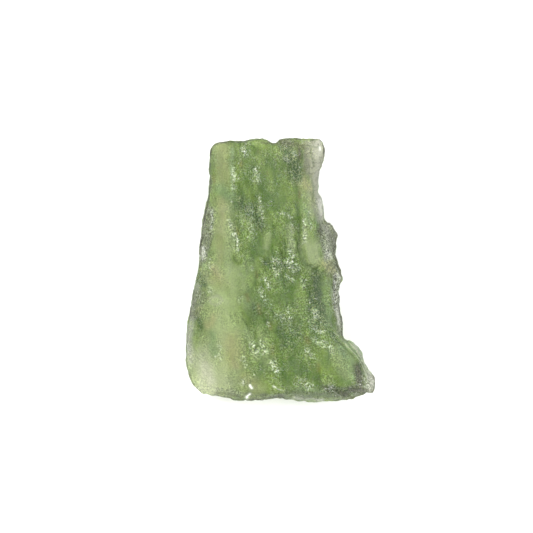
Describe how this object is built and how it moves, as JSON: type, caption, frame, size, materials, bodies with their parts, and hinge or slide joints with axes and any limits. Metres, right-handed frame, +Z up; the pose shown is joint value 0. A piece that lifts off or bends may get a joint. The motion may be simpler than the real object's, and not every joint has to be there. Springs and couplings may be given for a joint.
{
  "type": "raw moldavite",
  "caption": "Raw moldavite: a flat, fan-shaped splinter of translucent green natural glass with furrowed, pitted faces and thin clear rims, lying on its back.",
  "frame": {"origin": "under the middle of the stone's bounding box, on the surface it rests on", "axes": "+Z up, out of the broad furrowed face; +Y along the stone towards its narrow end"},
  "size_m": [0.019, 0.0264, 0.0055],
  "materials": {
    "moldavite_glass": "corroded satin green natural glass, see-through at the thin rims"
  },
  "bodies": {
    "root": {"moldavite": "moldavite_glass"}
  },
  "joints": []
}
